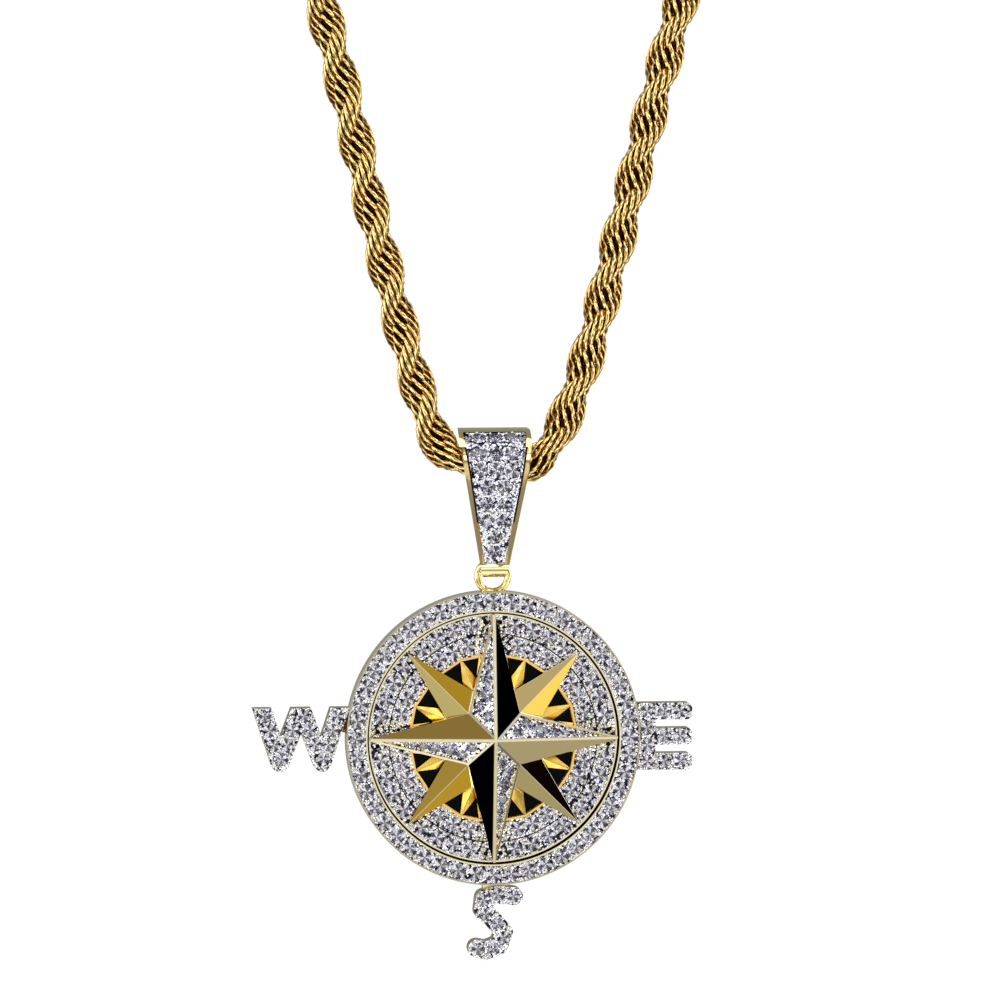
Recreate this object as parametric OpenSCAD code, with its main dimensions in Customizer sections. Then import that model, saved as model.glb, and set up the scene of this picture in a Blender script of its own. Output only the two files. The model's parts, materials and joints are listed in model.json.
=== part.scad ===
// Compass pendant on a rope chain, hanging as worn. Millimetres, +Z up, front towards -Y, east towards +X.
// The origin is the middle of the chain at the nape. The pendant's own frame lies in its disc:
// x to the right, y up, z towards the viewer, with z = 0 on the back of the plate.

/* [Chain] */
// Thickness of the rope chain
chain_d = 4; // [2:0.1:4.2]
// Sides of the chain's tube
chain_sides = 10; // [8:1:12]

/* [Clasp] */
// Diameter of the barrel clasp
clasp_d = 5.6; // [5.4:0.1:8]
// Length of the barrel clasp
clasp_l = 14; // [10:1:18]
// Depth of the socket that takes each end of the chain
socket_depth = 3; // [1:0.5:4]
// Gap round the chain in its socket
socket_gap = 0.15; // [0.1:0.05:0.3]

/* [Bail] */
// Radius inside the bail's top arch
bail_r = 3.5; // [3.4:0.05:4.5]
// Thickness of the bail's wall
bail_wall = 0.8; // [0.7:0.05:1]
// Width across the top of the bail
bail_top_w = 8.2; // [7.6:0.1:8.4]
// Width across the foot of the bail
bail_foot_w = 3; // [2.4:0.1:4]
// Radius inside the bail's foot
foot_r = 1.5; // [1.4:0.05:2]
// Distance from the arch's centre to the foot's centre
foot_drop = 9.4; // [9:0.1:14]
// Half the gap in the strap where the round bar crosses
bar_gap = 1.3; // [1.2:0.05:1.4]
// Diameter of the round bar at the foot
bar_d = 1.1; // [0.8:0.05:1.1]
// Width of the plain border round the bail's stones
bail_border = 0.7; // [0.5:0.05:0.8]
// Depth of the sunk panel round the bail's stones
panel_depth = 0.12; // [0.05:0.01:0.2]
// Rounding of the bail's top corners
bail_corner = 0.7; // [0.3:0.1:1.2]
// Gap between the chain and the top of the bail's arch
chain_gap = 0.6; // [0.5:0.05:0.9]
// How far the bail's sides turn in towards its back, in millimetres for each millimetre of depth
bail_turn = 0.09; // [0:0.01:0.12]

/* [Top ring] */
// Bore of the ring on top of the disc
ring_bore = 2.5; // [2.4:0.05:3]
// Thickness of the ring's wire
ring_wire = 0.7; // [0.5:0.05:0.9]
// Gap between the bail's bar and the ring that hangs on it
ring_gap = 0.1; // [0.05:0.01:0.2]
// How far the ring sinks into the edge of the disc
ring_sink = 0.45; // [0.3:0.05:0.6]

/* [Disc] */
// Diameter of the disc
disc_d = 31; // [30.9:0.1:34]
// Thickness of the plate under the enamel
plate_t = 1.2; // [0.8:0.1:1.4]
// Height of the stone field above the back
field_t = 1.9; // [1.8:0.1:2.2]
// Height of the raised rim above the back
rim_t = 2.45; // [2.3:0.05:3.2]
// Radial width of the raised rim with its lips
rim_w = 2.2; // [2.1:0.05:2.3]
// Width of the thin lips beside the rim's stones
lip_w = 0.16; // [0.1:0.01:0.2]
// Height of the thin lips
lip_h = 0.15; // [0.05:0.01:0.3]
// Width of the dark groove inside the raised rim
groove_w = 0.2; // [0.1:0.01:0.25]
// Depth of the groove below the stone field
groove_depth = 0.5; // [0.2:0.05:0.8]
// Width of the thin groove between the two rows of the field
row_groove_w = 0.12; // [0.05:0.01:0.14]
// Distance from the groove inside the raised rim to the field's outer stones
divider_gap = 0.37; // [0.3:0.01:0.5]
// Gap between the two rows of the field's stones
row_gap = 0.59; // [0.5:0.01:0.7]
// Gap between the field's inner stones and the enamel's border
border_gap = 0.28; // [0.2:0.01:0.4]
// Chamfer round the back of the disc
back_chamfer = 0.25; // [0.1:0.05:0.4]
// Diameter of the small pits beside the long rays' tips
pit_d = 0.5; // [0.3:0.05:0.6]

/* [Enamel] */
// Width of the enamel's border
border_w = 0.22; // [0.2:0.02:0.4]
// Height of the border above the stone field
border_h = 0.25; // [0.1:0.05:0.3]
// Thickness of the enamel
enamel_t = 0.5; // [0.3:0.05:0.5]
// Gap round and between stacked pieces
stack_gap = 0.05; // [0.02:0.01:0.08]

/* [Star] */
// Gap between the long rays' tips and the raised rim
long_gap = 0.25; // [0.22:0.01:1.2]
// Valley between the long rays, measured along each axis
long_valley = 2.73; // [2:0.01:3]
// Width of the flat ridge along each long ray
ridge_w = 0.32; // [0.2:0.02:0.5]
// Height of the long rays' edge above the star's back
long_edge_h = 0.8; // [0.75:0.05:1.2]
// Rise of the long rays from their edge to the apex
long_rise = 1.8; // [1:0.1:2.6]
// Gap between the diagonal rays' tips and the raised rim
diag_gap = 0.45; // [0.4:0.05:3]
// Half width of a diagonal ray for each millimetre from its tip
diag_taper = 0.258; // [0.2:0.002:0.28]
// Height of the diagonal rays' edge above the star's back
diag_edge_h = 0.15; // [0.1:0.05:0.3]
// Rise of the diagonal rays from their edge to the centre
diag_rise = 0.85; // [0.5:0.05:0.9]
// Depth of the sunk halves of the long rays
recess_depth = 0.22; // [0.1:0.02:0.3]
// Gold left along a sunk half's outer edge
recess_edge = 0.26; // [0.2:0.02:0.4]
// Gold left along a sunk half's ridge
recess_ridge = 0.06; // [0.04:0.02:0.1]

/* [Small rays] */
// How far past the enamel's edge the small rays point; the edge cuts their tips off
small_over = 0.35; // [0.1:0.05:0.6]
// Degrees from a long ray to the small rays half hidden beside it
small_side = 9; // [8:0.5:11]
// Half width of a small ray for each millimetre from its tip
small_taper = 0.28; // [0.2:0.002:0.3]
// Thickness of the small rays' edge
small_edge = 0.1; // [0.05:0.01:0.2]
// Rise of the small rays from their edge to the centre
small_rise = 0.95; // [0.6:0.05:1.2]

/* [Letters] */
// Thickness of the letters
letter_t = 1.9; // [1.4:0.1:2.4]
// Height of the letters' back above the back of the disc
letter_lift = 0.2; // [0:0.05:0.4]
// Width of a letter's stroke
stroke_w = 1.9; // [1.7:0.05:2]
// Depth of the solder that joins the letters to the disc
solder_t = 1.1; // [0.6:0.1:1.3]
// Width of the solder at the W
w_solder = 2.2; // [1.8:0.1:2.8]
// Width of the solder at the E
e_solder = 4.8; // [4:0.1:5.4]
// Width of the solder at the S
s_solder = 2.6; // [2:0.1:3]
// How far a letter sinks into the disc's edge
letter_sink = 0.25; // [0.2:0.05:0.4]
// Width of the W
w_width = 10.3; // [9.6:0.1:11]
// Height of the W
w_height = 6.7; // [6.4:0.1:7.4]
// Height of the W's middle above the disc's centre line
w_up = 0; // [-0.5:0.1:0.5]
// Width of the E
e_width = 5.8; // [5.4:0.1:6.4]
// Height of the E
e_height = 7.05; // [6.9:0.05:8]
// Rounding of the ends of the E's arms
e_round = 0.6; // [0.3:0.05:0.8]
// Width of the S
s_width = 5.8; // [5.6:0.1:6.6]
// Height of the S
s_height = 7.8; // [7.5:0.1:8.6]
// How far the S stands to the right of the disc's middle
s_right = 0.25; // [-0.3:0.05:0.3]
// Gap between the S and the disc's edge, above the solder
s_gap = 0.1; // [0.05:0.05:0.2]

/* [Stones] */
// Diameter of the rim's stones
rim_stone_d = 1.5; // [1.3:0.05:1.6]
// Number of stones round the rim
rim_stone_n = 48; // [40:1:48]
// Diameter of the field's outer stones
field_stone_d = 1.45; // [1.2:0.05:1.5]
// Diameter of the field's inner stones
inner_stone_d = 1.4; // [1.2:0.05:1.4]
// Least gap between two stones of the field's rows
stone_gap = 0.15; // [0.12:0.01:0.2]
// Diameter of the bail's stones
bail_stone_d = 1.4; // [1.2:0.05:1.4]
// Distance between stones across the bail
bail_stone_pitch = 1.72; // [1.65:0.01:1.75]
// Diameter of the letters' stones
letter_stone_d = 1.25; // [1:0.05:1.3]
// Gap round a stone in its seat
seat_gap = 0.08; // [0.05:0.01:0.1]
// Height of a stone's crown as a share of its diameter
crown = 0.14; // [0.1:0.01:0.2]
// Depth of a stone below its girdle as a share of its diameter
pavilion = 0.36; // [0.25:0.01:0.38]
// Diameter of a stone's table as a share of its diameter
table = 0.56; // [0.5:0.01:0.65]
// Depth of a stone's girdle below the metal round it
girdle_sink = 0.04; // [0:0.01:0.06]

/* [Hidden] */
$fn = 48;

// the chain's route from the clasp's right end round the front to its left end:
// [x, y, z, rings up to the next point]
ROUTE = [
  [5, 0, 0, 1], [9, 0, 0, 1], [20, -2.5, -1, 2], [38, -12, -4, 2], [52, -27, -10, 2], [58, -45, -19, 2],
  [56, -62, -34, 3], [50.5, -76, -55, 3], [44, -85, -80, 3], [36.5, -90, -109, 3], [28, -92, -139, 3],
  [19, -92, -169, 3], [13, -92, -192, 2], [10.2, -92, -202.5, 2], [8.3, -92, -208, 2],
  [6.6, -92, -211.8, 2], [4, -92, -214.5, 2], [0, -92, -214.1, 2], [-4, -92, -213.95, 2],
  [-5.9, -92, -212, 2], [-7.3, -92, -208.3, 2], [-9, -92, -202.5, 2], [-11.7, -92, -192, 3],
  [-17.2, -92, -169, 3], [-26, -92, -139, 3], [-35, -90, -109, 3], [-43, -85, -80, 3],
  [-50, -76, -55, 3], [-56, -62, -34, 2], [-58, -45, -19, 2], [-52, -27, -10, 2],
  [-38, -12, -4, 2], [-20, -2.5, -1, 1], [-9, 0, 0, 1], [-5, 0, 0, 1]];
// the middle of the bail's arch, a little below the stretch of chain that carries it
PIVOT = [ROUTE[17].x, ROUTE[17].y, ROUTE[17].z + chain_d / 2 + chain_gap - bail_r];

// the bail's side view is a teardrop of two circles and their outer tangents
bail_lean = asin((bail_r - foot_r) / foot_drop);
bar_in = foot_drop + sqrt(pow(foot_r, 2) - pow(bar_gap, 2));
bar_out = foot_drop + sqrt(pow(foot_r + bail_wall, 2) - pow(bar_gap, 2));
bar_z = -(bar_in + bar_out) / 2;
bail_top_z = bail_r + bail_wall;
bail_foot_z = -bar_out;
// the rows of stones down the bail: [height in shares of the way from the foot to the top, stones]
BAIL_ROWS = [[0.949, 3], [0.846, 3], [0.728, 3], [0.609, 2], [0.495, 2], [0.381, 2], [0.275, 1], [0.167, 1]];

ring_r = (ring_bore + ring_wire) / 2;
ring_z = bar_z + bar_d / 2 + ring_gap - ring_bore / 2;
swing_z = ring_z + ring_r;
disc_r = disc_d / 2;
disc_z = ring_z - ring_bore / 2 - ring_wire - disc_r + ring_sink;
// depth of the ring's plane in the pendant's frame, where the pendant balances
ring_depth = 1.45;

rim_r = disc_r - rim_w;
rim_stone_r = rim_r + rim_w / 2 + 0.05;
// the field's two rows: [radius, diameter, first and last stone in degrees from the nearest long ray]
field_outer_r = rim_r - groove_w - divider_gap - field_stone_d / 2;
field_inner_r = field_outer_r - (field_stone_d + inner_stone_d) / 2 - row_gap;
FIELD_ROWS = [[field_inner_r, inner_stone_d, 15, 34.5], [field_outer_r, field_stone_d, 11, 38.6]];
row_groove_r = field_outer_r - field_stone_d / 2 - row_gap / 2;
pit_r = field_outer_r + 0.2;
border_r = field_inner_r - inner_stone_d / 2 - border_gap;
enamel_r = border_r - border_w;
enamel_z = plate_t + stack_gap;
small_z = enamel_z + enamel_t + stack_gap;
star_z = field_t + border_h + 0.15;
long_tip = rim_r - long_gap;
diag_tip = rim_r - diag_gap;
small_tip = enamel_r + small_over;
// directions of the small rays in degrees
SMALL_RAYS = [for (i = [0 : 3], a = [small_side, 22.5, 67.5, 90 - small_side]) 90 * i + a];

// the corners of one long ray's sunk half, on its counterclockwise side
long_edge_z = star_z + long_edge_h;
apex_z = long_edge_z + long_rise;
TIP = [-ridge_w / 2, long_tip, long_edge_z];
TOP = [-ridge_w / 2, ridge_w / 2, apex_z];
VALLEY = [-long_valley, long_valley, long_edge_z];
RIDGE_DIR = unit(TIP - TOP);
FACET_UP = unit(cross(TIP - TOP, VALLEY - TOP));
FACET_SIDE = cross(FACET_UP, RIDGE_DIR);
FACET = [[0, 0], [norm(TIP - TOP), 0], [(VALLEY - TOP) * RIDGE_DIR, (VALLEY - TOP) * FACET_SIDE]];
RECESS = inset(FACET, [recess_ridge, recess_edge, recess_edge]);
// the stones of a sunk half: [share towards the apex, share towards the valley, share of the recess's width]
RAY_STONES = [[0.118, 0.140, 0.19], [0.152, 0.182, 0.27], [0.196, 0.233, 0.37], [0.250, 0.298, 0.48],
  [0.322, 0.382, 0.62], [0.222, 0.655, 0.42], [0.600, 0.290, 0.42]];

// stroke centre lines in shares of each letter's half box
W_LINE = [[-0.796, 1], [-0.43, -0.716], [0, 1], [0.43, -0.716], [0.796, 1]];
W_STONES = [0.75, -0.6];
S_LINE = [[1, 0.94], [0.1, 1], [-0.6, 0.86], [-0.68, 0.42], [-0.06, 0.05], [0.46, -0.36], [0.2, -0.82],
  [-0.5, -1], [-1, -0.93]];
w_half = [w_width / 2, w_height / 2];
s_half = [(s_width - stroke_w) / 2, (s_height - stroke_w) / 2];
w_at = [-disc_r + letter_sink + 0.2 - w_width / 2, w_up];
e_at = [disc_r - letter_sink, 0];
s_at = [s_right, -disc_r - s_gap - s_height / 2];
letter_z = letter_lift + letter_t;
arm_w = stroke_w - 0.15;

function unit(v) = v / norm(v);
function mix(a, b, t) = a * (1 - t) + b * t;
function turn(v, a) = [v.x * cos(a) - v.y * sin(a), v.x * sin(a) + v.y * cos(a)];
function xyz(p) = [p.x, p.y, p.z];

// a smooth curve through p1 and p2, with p0 and p3 beyond them
function curve(p0, p1, p2, p3, t) =
  (2 * p1 + (p2 - p0) * t + (2 * p0 - 5 * p1 + 4 * p2 - p3) * t * t
    + (3 * p1 - p0 - 3 * p2 + p3) * t * t * t) / 2;
function smooth(p, n) = [
  for (i = [0 : len(p) - 2], k = [0 : n - 1])
    curve(p[max(i - 1, 0)], p[i], p[i + 1], p[min(i + 2, len(p) - 1)], k / n),
  p[len(p) - 1]];
function heading(p, i) = unit(p[min(i + 1, len(p) - 1)] - p[max(i - 1, 0)]);

// a line's length up to each point, and the point at a given length
function lengths(p) = [for (i = 0, s = 0; i < len(p); i = i + 1,
  s = i < len(p) ? s + norm(p[i] - p[i - 1]) : s) s];
function at_length(p, l, s, i = 0) =
  i >= len(p) - 2 || s <= l[i + 1] ? mix(p[i], p[i + 1], (s - l[i]) / (l[i + 1] - l[i])) : at_length(p, l, s, i + 1);

// where two lines cross, each given by a point and a direction
function meet(p, d, q, e) = p + d * ((q - p).x * e.y - (q - p).y * e.x) / (d.x * e.y - d.y * e.x);
// a counterclockwise triangle with each side moved inwards by its own amount
function inset(t, m) =
  let (d = [for (i = [0 : 2]) unit(t[(i + 1) % 3] - t[i])],
    p = [for (i = [0 : 2]) t[i] + turn(d[i], 90) * m[i]])
  [for (i = [0 : 2]) meet(p[(i + 2) % 3], d[(i + 2) % 3], p[i], d[i])];
function recess_point(s, t) = RECESS[1] + (RECESS[0] - RECESS[1]) * s + (RECESS[2] - RECESS[1]) * t;
recess_w = RECESS[2].y - RECESS[0].y;

// the chain

function route_points() = [
  for (i = [0 : len(ROUTE) - 2], k = [0 : ROUTE[i][3] - 1])
    curve(xyz(ROUTE[max(i - 1, 0)]), xyz(ROUTE[i]), xyz(ROUTE[i + 1]), xyz(ROUTE[min(i + 2, len(ROUTE) - 1)]),
      k / ROUTE[i][3]),
  xyz(ROUTE[len(ROUTE) - 1])];

module sweep(p, r, n) {
  side = [for (i = 0, v = [0, 0, 1]; i < len(p); i = i + 1,
    v = i < len(p) ? unit(v - heading(p, i) * (v * heading(p, i))) : v) unit(v - heading(p, i) * (v * heading(p, i)))];
  points = [for (i = [0 : len(p) - 1], k = [0 : n - 1])
    p[i] + r * (side[i] * cos(360 * k / n) + cross(heading(p, i), side[i]) * sin(360 * k / n))];
  faces = [
    for (i = [0 : len(p) - 2], k = [0 : n - 1])
      [i * n + k, (i + 1) * n + k, (i + 1) * n + (k + 1) % n, i * n + (k + 1) % n],
    [for (k = [0 : n - 1]) k],
    [for (k = [n - 1 : -1 : 0]) (len(p) - 1) * n + k]];
  polyhedron(points, faces, convexity = 10);
}

module chain() {
  color("gold") sweep(route_points(), chain_d / 2, chain_sides);
}

module clasp() {
  hole = chain_d / 2 + socket_gap;
  end = clasp_l / 2;
  color("gold") rotate([0, 90, 0]) rotate_extrude()
    polygon([[0, -end + socket_depth], [hole, -end + socket_depth], [hole, -end], [clasp_d / 2 - 0.3, -end],
      [clasp_d / 2, -end + 1], [clasp_d / 2, end - 1], [clasp_d / 2 - 0.3, end], [hole, end],
      [hole, end - socket_depth], [0, end - socket_depth]]);
}

// cut stones: girdle on z = 0, flat table above, point below

module stone(d) {
  ring = [for (a = [22.5 : 45 : 359]) [cos(a), sin(a)]];
  polyhedron(
    [for (v = ring) [v.x * d / 2, v.y * d / 2, 0], for (v = ring) [v.x * d * table / 2, v.y * d * table / 2, d * crown],
      [0, 0, -d * pavilion]],
    [for (i = [0 : 7]) [i, i + 8, (i + 1) % 8 + 8, (i + 1) % 8], for (i = [0 : 7]) [i, (i + 1) % 8, 16],
      [for (i = [15 : -1 : 8]) i]]);
}

module seat(d) {
  depth = d * pavilion + girdle_sink + seat_gap;
  translate([0, 0, -depth]) cylinder(d = d + 2 * seat_gap, h = depth + 1);
}

module set_stone(d, seats) {
  if (seats) seat(d);
  else translate([0, 0, -girdle_sink]) stone(d);
}

// the bail, round the pivot

module teardrop(grow) {
  top = bail_r + grow;
  foot = foot_r + grow;
  circle(r = top);
  translate([0, -foot_drop]) circle(r = foot);
  polygon([[top * cos(bail_lean), -top * sin(bail_lean)], [-top * cos(bail_lean), -top * sin(bail_lean)],
    [-foot * cos(bail_lean), -foot_drop - foot * sin(bail_lean)],
    [foot * cos(bail_lean), -foot_drop - foot * sin(bail_lean)]]);
}

module bail_side(inner, outer) {
  rotate([90, 0, 90]) linear_extrude(bail_top_w + 2, center = true) difference() {
    teardrop(outer);
    teardrop(inner);
  }
}

function bail_half_w(z) = mix(bail_foot_w, bail_top_w, (z - bail_foot_z) / (bail_top_z - bail_foot_z)) / 2;

module bail_front(edge, low, high, corner) {
  a = bail_half_w(low) - edge;
  b = bail_half_w(high) - edge;
  rotate([90, 0, 0]) linear_extrude(20, center = true) {
    polygon([[-a, low], [a, low], [b, high - corner], [b - corner, high], [corner - b, high], [-b, high - corner]]);
    for (side = [-1, 1]) translate([side * (b - corner), high - corner]) circle(r = corner);
  }
}

module bail_seats(seats) {
  outer = bail_r + bail_wall;
  for (row = BAIL_ROWS, i = [0 : row[1] - 1]) {
    z = mix(bail_foot_z, bail_top_z, row[0]);
    tilt = z > -outer * sin(bail_lean) ? asin(z / outer) : -bail_lean;
    y = z > -outer * sin(bail_lean) ? -outer * cos(tilt) : -(outer + z * sin(bail_lean)) / cos(bail_lean);
    translate([(i - (row[1] - 1) / 2) * bail_stone_pitch, y, z]) rotate([90 - tilt, 0, 0])
      translate([0, 0, -panel_depth]) set_stone(bail_stone_d, seats);
  }
}

// cuts both sides of the bail, so that its back is narrower than its front
module bail_sides() {
  slope = (bail_top_w - bail_foot_w) / 2 / (bail_top_z - bail_foot_z);
  low = bail_foot_z - 5;
  for (side = [0, 1]) mirror([side, 0, 0]) multmatrix([
    [1, -bail_turn, slope, bail_half_w(low)],
    [0, 1, 0, -bail_r - bail_wall],
    [0, 0, 1, low],
    [0, 0, 0, 1]]) cube([bail_top_w, 20, 30]);
}

module bail() {
  color("gold") translate(PIVOT) {
    difference() {
      intersection() {
        bail_side(0, bail_wall);
        bail_front(0, bail_foot_z, bail_top_z, bail_corner);
      }
      translate([-bail_top_w, -bar_gap, bail_foot_z - 1])
        cube([2 * bail_top_w, 2 * bar_gap, foot_drop / 2]);
      intersection() {
        bail_side(bail_wall - panel_depth, bail_wall + 2);
        bail_front(bail_border, bail_foot_z + 1.45, bail_top_z - 0.35, 0.2);
        translate([-10, -20, -20]) cube([20, 20, 40]);
      }
      bail_seats(true);
      bail_sides();
    }
    translate([0, 0, bar_z]) rotate([90, 0, 0])
      cylinder(d = bar_d, h = 2 * bar_gap + 0.2, center = true);
  }
}

module bail_stones() {
  color("white") translate(PIVOT) bail_seats(false);
}

// the pendant

module pendant_frame() {
  translate(PIVOT + [0, ring_depth, disc_z]) rotate([90, 0, 0]) children();
}

module rim_seats(seats) {
  for (i = [0 : rim_stone_n - 1]) rotate(360 * i / rim_stone_n) translate([0, rim_stone_r, rim_t])
    set_stone(rim_stone_d, seats);
}

function row_angles(row) =
  let (n = max(1, floor((row[3] - row[2]) * PI / 180 * row[0] / (row[1] + stone_gap))))
  [for (k = [0 : n]) mix(row[2], row[3], k / n)];

module field_seats(seats) {
  for (row = FIELD_ROWS, quarter = [0 : 3], side = [-1, 1], a = row_angles(row))
    rotate(quarter * 90 + side * a) translate([0, row[0], field_t]) set_stone(row[1], seats);
}

// the enamel and its border have straight sides between the rays' directions
module sixteen_sided(r) {
  polygon([for (i = [0 : 15]) [r * cos(22.5 * i), r * sin(22.5 * i)]]);
}

module disc() {
  divider = rim_r - groove_w;
  difference() {
    rotate_extrude() polygon([[0, 0], [disc_r - back_chamfer, 0], [disc_r, back_chamfer], [disc_r, rim_t + lip_h],
      [disc_r - lip_w, rim_t + lip_h], [disc_r - lip_w, rim_t], [rim_r + lip_w, rim_t],
      [rim_r + lip_w, rim_t + lip_h], [rim_r, rim_t + lip_h], [rim_r, field_t - groove_depth],
      [divider, field_t - groove_depth], [divider, field_t + lip_h], [divider - lip_w, field_t + lip_h],
      [divider - lip_w, field_t], [row_groove_r + row_groove_w / 2, field_t],
      [row_groove_r + row_groove_w / 2, field_t - 0.25], [row_groove_r - row_groove_w / 2, field_t - 0.25],
      [row_groove_r - row_groove_w / 2, field_t], [0, field_t]]);
    translate([0, 0, plate_t]) linear_extrude(field_t) sixteen_sided(enamel_r);
    rim_seats(true);
    field_seats(true);
    for (quarter = [0 : 3], side = [-3.6, 3.6])
      rotate(quarter * 90 + side) translate([0, pit_r, field_t - 0.4]) cylinder(d = pit_d, h = 1);
  }
  translate([0, 0, plate_t]) linear_extrude(field_t - plate_t + border_h) difference() {
    sixteen_sided(border_r);
    sixteen_sided(enamel_r);
  }
}

module top_ring() {
  translate([0, ring_z - disc_z, ring_depth]) rotate_extrude() translate([ring_r, 0]) circle(d = ring_wire);
}

// the letters, each drawn round the middle of its own box

module stroke(a, b, w) {
  translate(a) rotate(atan2(b.y - a.y, b.x - a.x)) translate([0, -w / 2]) square([norm(b - a), w]);
}

function scaled(p, half) = [p.x * half.x, p.y * half.y];
W_PATH = [for (p = W_LINE) scaled(p, w_half)];
S_BENDS = [for (p = S_LINE) scaled(p, s_half)];
S_PATH = smooth(S_BENDS, 5);
S_LENGTH = lengths(S_PATH);

module w_outline() {
  intersection() {
    square(2 * w_half, center = true);
    union() {
      for (i = [0 : 3]) {
        low = W_PATH[i % 2 == 0 ? i + 1 : i];
        high = W_PATH[i % 2 == 0 ? i : i + 1];
        stroke(low, high + (high - low) * 0.3, stroke_w);
      }
      for (i = [1, 3]) translate(W_PATH[i]) circle(d = stroke_w);
    }
  }
}

module e_outline() {
  square_w = e_width - e_round;
  translate([0, -e_height / 2]) square([stroke_w, e_height]);
  for (y = [-e_height / 2, -arm_w / 2, e_height / 2 - arm_w]) translate([0, y]) {
    square([square_w, arm_w]);
    translate([0, e_round]) square([e_width, arm_w - 2 * e_round]);
    for (up = [e_round, arm_w - e_round]) translate([square_w, up]) circle(r = e_round);
  }
}

module s_outline() {
  for (i = [0 : len(S_LINE) - 2]) stroke(S_BENDS[i], S_BENDS[i + 1], stroke_w);
  for (p = S_BENDS) translate(p) circle(d = stroke_w);
}

function w_spots() = [for (i = [0 : 3], k = [0 : (i == 3 ? 3 : 2)])
  let (a = W_PATH[i], b = W_PATH[i + 1], from = i % 2 == 0 ? W_STONES[0] : W_STONES[1],
    to = i % 2 == 0 ? W_STONES[1] : W_STONES[0], y = mix(from, to, k / 3) * w_half.y)
  mix(a, b, (y - a.y) / (b.y - a.y))];
function e_spots() =
  let (stem = stroke_w / 2 + 0.1, reach = e_width - arm_w / 2 - 0.35, top = (e_height - arm_w) / 2)
  [for (k = [-1.5 : 1 : 1.5]) [stem, k * top / 1.5],
    for (y = [-top, 0, top], x = [mix(stem, reach, 0.52), reach]) [x, y]];
function s_spots() = [for (k = [0 : 7]) at_length(S_PATH, S_LENGTH, S_LENGTH[len(S_PATH) - 1] * (0.005 + 0.985 * k / 7))];

module letter_seats(seats) {
  for (letter = [[w_at, w_spots()], [e_at, e_spots()], [s_at, s_spots()]], p = letter[1])
    translate([letter[0].x + p.x, letter[0].y + p.y, letter_z]) set_stone(letter_stone_d, seats);
}

module letters() {
  difference() {
    translate([0, 0, letter_lift]) linear_extrude(letter_t) {
      translate(w_at) w_outline();
      translate(e_at) e_outline();
      translate(s_at) s_outline();
    }
    letter_seats(true);
  }
}

// solder that joins each letter to the disc, below the stones
module solder() {
  translate([0, 0, letter_lift]) linear_extrude(solder_t) {
    translate([-disc_r - 0.45, 0.7]) square([1, w_solder]);
    translate([disc_r - 0.8, -e_solder / 2]) square([1.2, e_solder]);
    translate([s_right - s_solder / 2, -disc_r - 0.6]) square([s_solder, 1.2]);
  }
}

module compass_body() {
  color("gold") pendant_frame() {
    disc();
    top_ring();
    letters();
    solder();
  }
}

module enamel() {
  color("black") pendant_frame() translate([0, 0, enamel_z]) linear_extrude(enamel_t)
    sixteen_sided(enamel_r - stack_gap);
}

// a star of pointed rays in one piece: its outline is [radius, degrees] for each tip and valley
module star(outline, back, edge, apex) {
  n = len(outline);
  flat = [for (p = outline) turn([0, p[0]], p[1])];
  polyhedron(
    [for (p = flat) [p.x, p.y, back], for (p = flat) [p.x, p.y, edge], [0, 0, back], [0, 0, apex]],
    [for (i = [0 : n - 1]) each [
      [i, i + n, (i + 1) % n + n, (i + 1) % n], [i, (i + 1) % n, 2 * n], [i + n, 2 * n + 1, (i + 1) % n + n]]],
    convexity = 6);
}

// where a ray's edge meets its neighbour's, as a distance from the centre
function valley(tip, taper, half) = taper * tip / (sin(half) + taper * cos(half));

module small_rays() {
  color("goldenrod") pendant_frame() intersection() {
    star([for (i = [0 : len(SMALL_RAYS) - 1]) let (
        half = (SMALL_RAYS[(i + 1) % len(SMALL_RAYS)] + (i + 1 == len(SMALL_RAYS) ? 360 : 0) - SMALL_RAYS[i]) / 2)
        each [[small_tip, SMALL_RAYS[i]], [valley(small_tip, small_taper, half), SMALL_RAYS[i] + half]]],
      small_z, small_z + small_edge, small_z + small_edge + small_rise);
    linear_extrude(star_z - stack_gap) sixteen_sided(enamel_r - stack_gap);
  }
}

// the long rays in one piece, with a flat ridge along each
module long_star() {
  half = ridge_w / 2;
  corners = [[-half, long_tip], [half, long_tip], [long_valley, long_valley]];
  outline = [for (i = [0 : 3], p = corners) turn(p, -90 * i)];
  crest = [for (i = [0 : 3]) turn([half, half], -90 * i)];
  polyhedron(
    [for (p = outline) [p.x, p.y, star_z], for (p = outline) [p.x, p.y, long_edge_z],
      for (p = crest) [p.x, p.y, apex_z], [0, 0, star_z]],
    [for (i = [0 : 11]) each [[i, (i + 1) % 12, (i + 1) % 12 + 12, i + 12], [i, 28, (i + 1) % 12]],
      for (i = [0 : 3]) each [
        [3 * i + 13, 24 + i, 24 + (i + 3) % 4, 3 * i + 12],
        [3 * i + 14, 24 + i, 3 * i + 13],
        [(3 * i + 3) % 12 + 12, 24 + i, 3 * i + 14]],
      [24, 25, 26, 27]],
    convexity = 6);
}

module diag_star() {
  star([for (i = [0 : 3]) each [[diag_tip, 45 + 90 * i], [valley(diag_tip, diag_taper, 45), 90 + 90 * i]]],
    star_z, star_z + diag_edge_h, star_z + diag_edge_h + diag_rise);
}

// places children on each long ray's sunk facet: x along the ridge from the apex, y across, z outwards
module on_facets() {
  for (i = [0 : 3]) rotate(-90 * i) multmatrix([
    [RIDGE_DIR.x, FACET_SIDE.x, FACET_UP.x, TOP.x],
    [RIDGE_DIR.y, FACET_SIDE.y, FACET_UP.y, TOP.y],
    [RIDGE_DIR.z, FACET_SIDE.z, FACET_UP.z, TOP.z],
    [0, 0, 0, 1]]) children();
}

module ray_seats(seats) {
  on_facets() for (s = RAY_STONES) translate(concat(recess_point(s[0], s[1]), [-recess_depth]))
    set_stone(s[2] * recess_w, seats);
}

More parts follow.
